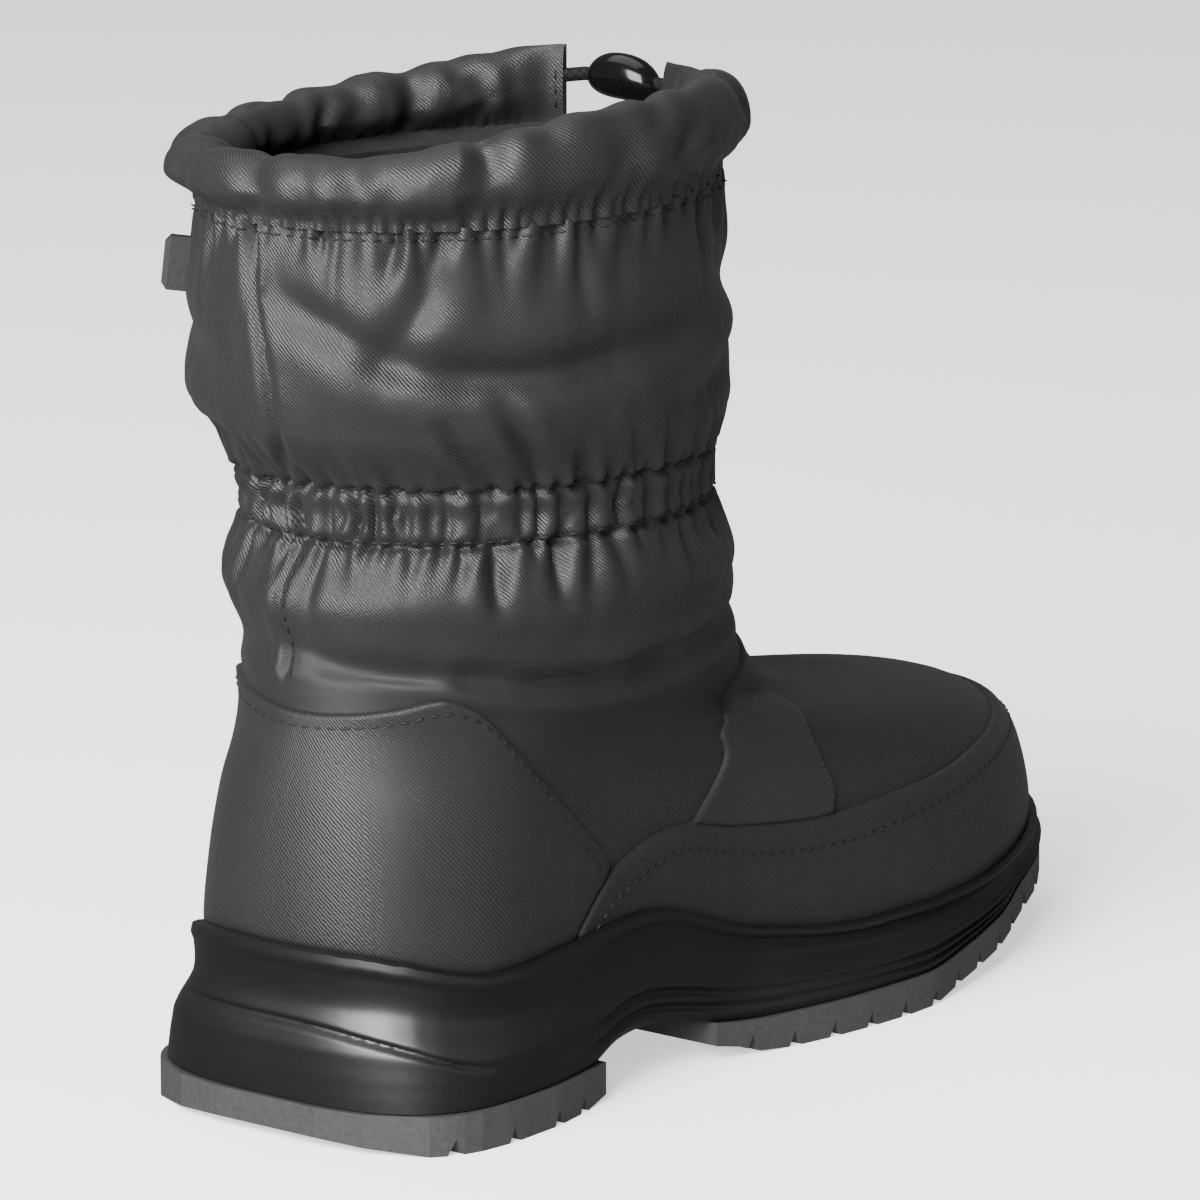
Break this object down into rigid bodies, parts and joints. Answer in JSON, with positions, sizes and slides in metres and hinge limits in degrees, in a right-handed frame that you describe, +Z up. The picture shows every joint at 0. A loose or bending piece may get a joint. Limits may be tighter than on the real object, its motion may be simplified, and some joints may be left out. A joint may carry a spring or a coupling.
{
  "type": "winter boot",
  "caption": "Pull-on winter boot for the right foot: gathered padded shaft with a drawcord collar and cord lock, lasted foot and lugged cup sole.",
  "frame": {"origin": "on the floor under the middle of the heel tread", "axes": "+X to the toe, +Y to the inner side of the foot, +Z up"},
  "size_m": [0.2787, 0.117, 0.2261],
  "materials": {
    "satin_cloth": "satin",
    "matte_cloth": "matte",
    "black_rubber": "satin",
    "grey_rubber": "matte",
    "felt": "matte",
    "gloss_black": "gloss",
    "braid": "matte"
  },
  "bodies": {
    "root": {"upper": "satin_cloth", "heel_counter": "satin_cloth", "mudguard": "satin_cloth", "instep_band": "matte_cloth", "collar_casing": "satin_cloth", "drawcord": "braid", "cord_lock": "gloss_black", "side_tab": "black_rubber", "insole": "felt", "midsole": "black_rubber", "heel_tread": "grey_rubber", "forefoot_tread": "grey_rubber"}
  },
  "joints": []
}
